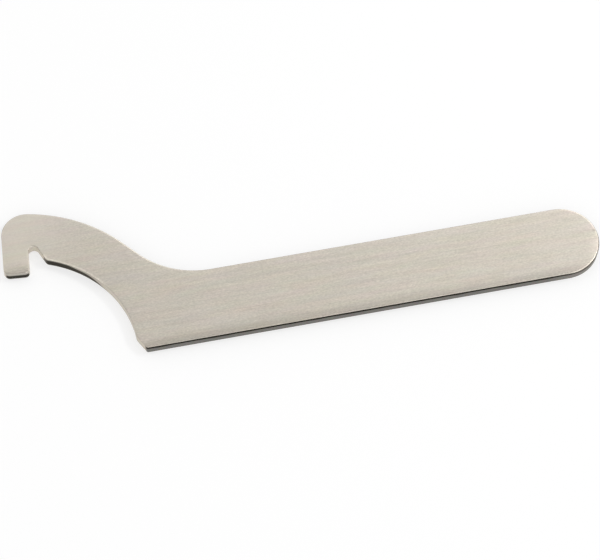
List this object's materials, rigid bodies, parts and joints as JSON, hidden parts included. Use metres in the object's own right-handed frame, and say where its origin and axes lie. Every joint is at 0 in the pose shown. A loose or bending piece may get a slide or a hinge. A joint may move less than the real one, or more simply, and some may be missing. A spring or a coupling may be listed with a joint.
{
  "type": "shock spanner",
  "caption": "Flat steel hook spanner with a round-ended handle, a curved jaw and a hooked tooth, for turning the slotted preload collar of a shock absorber.",
  "frame": {"origin": "middle of the plate's footprint, on its underside", "axes": "+X along the handle to its round end, +Y from the handle towards the back of the arm, +Z out of the upper face, whose edges are rolled"},
  "size_m": [0.172, 0.0512, 0.0032],
  "materials": {
    "satin_steel": "satin nickel plate on blanked steel, warm grey, with a faint grain along the plate and a darker sheared edge"
  },
  "bodies": {
    "root": {"spanner_plate": "satin_steel"}
  },
  "joints": []
}
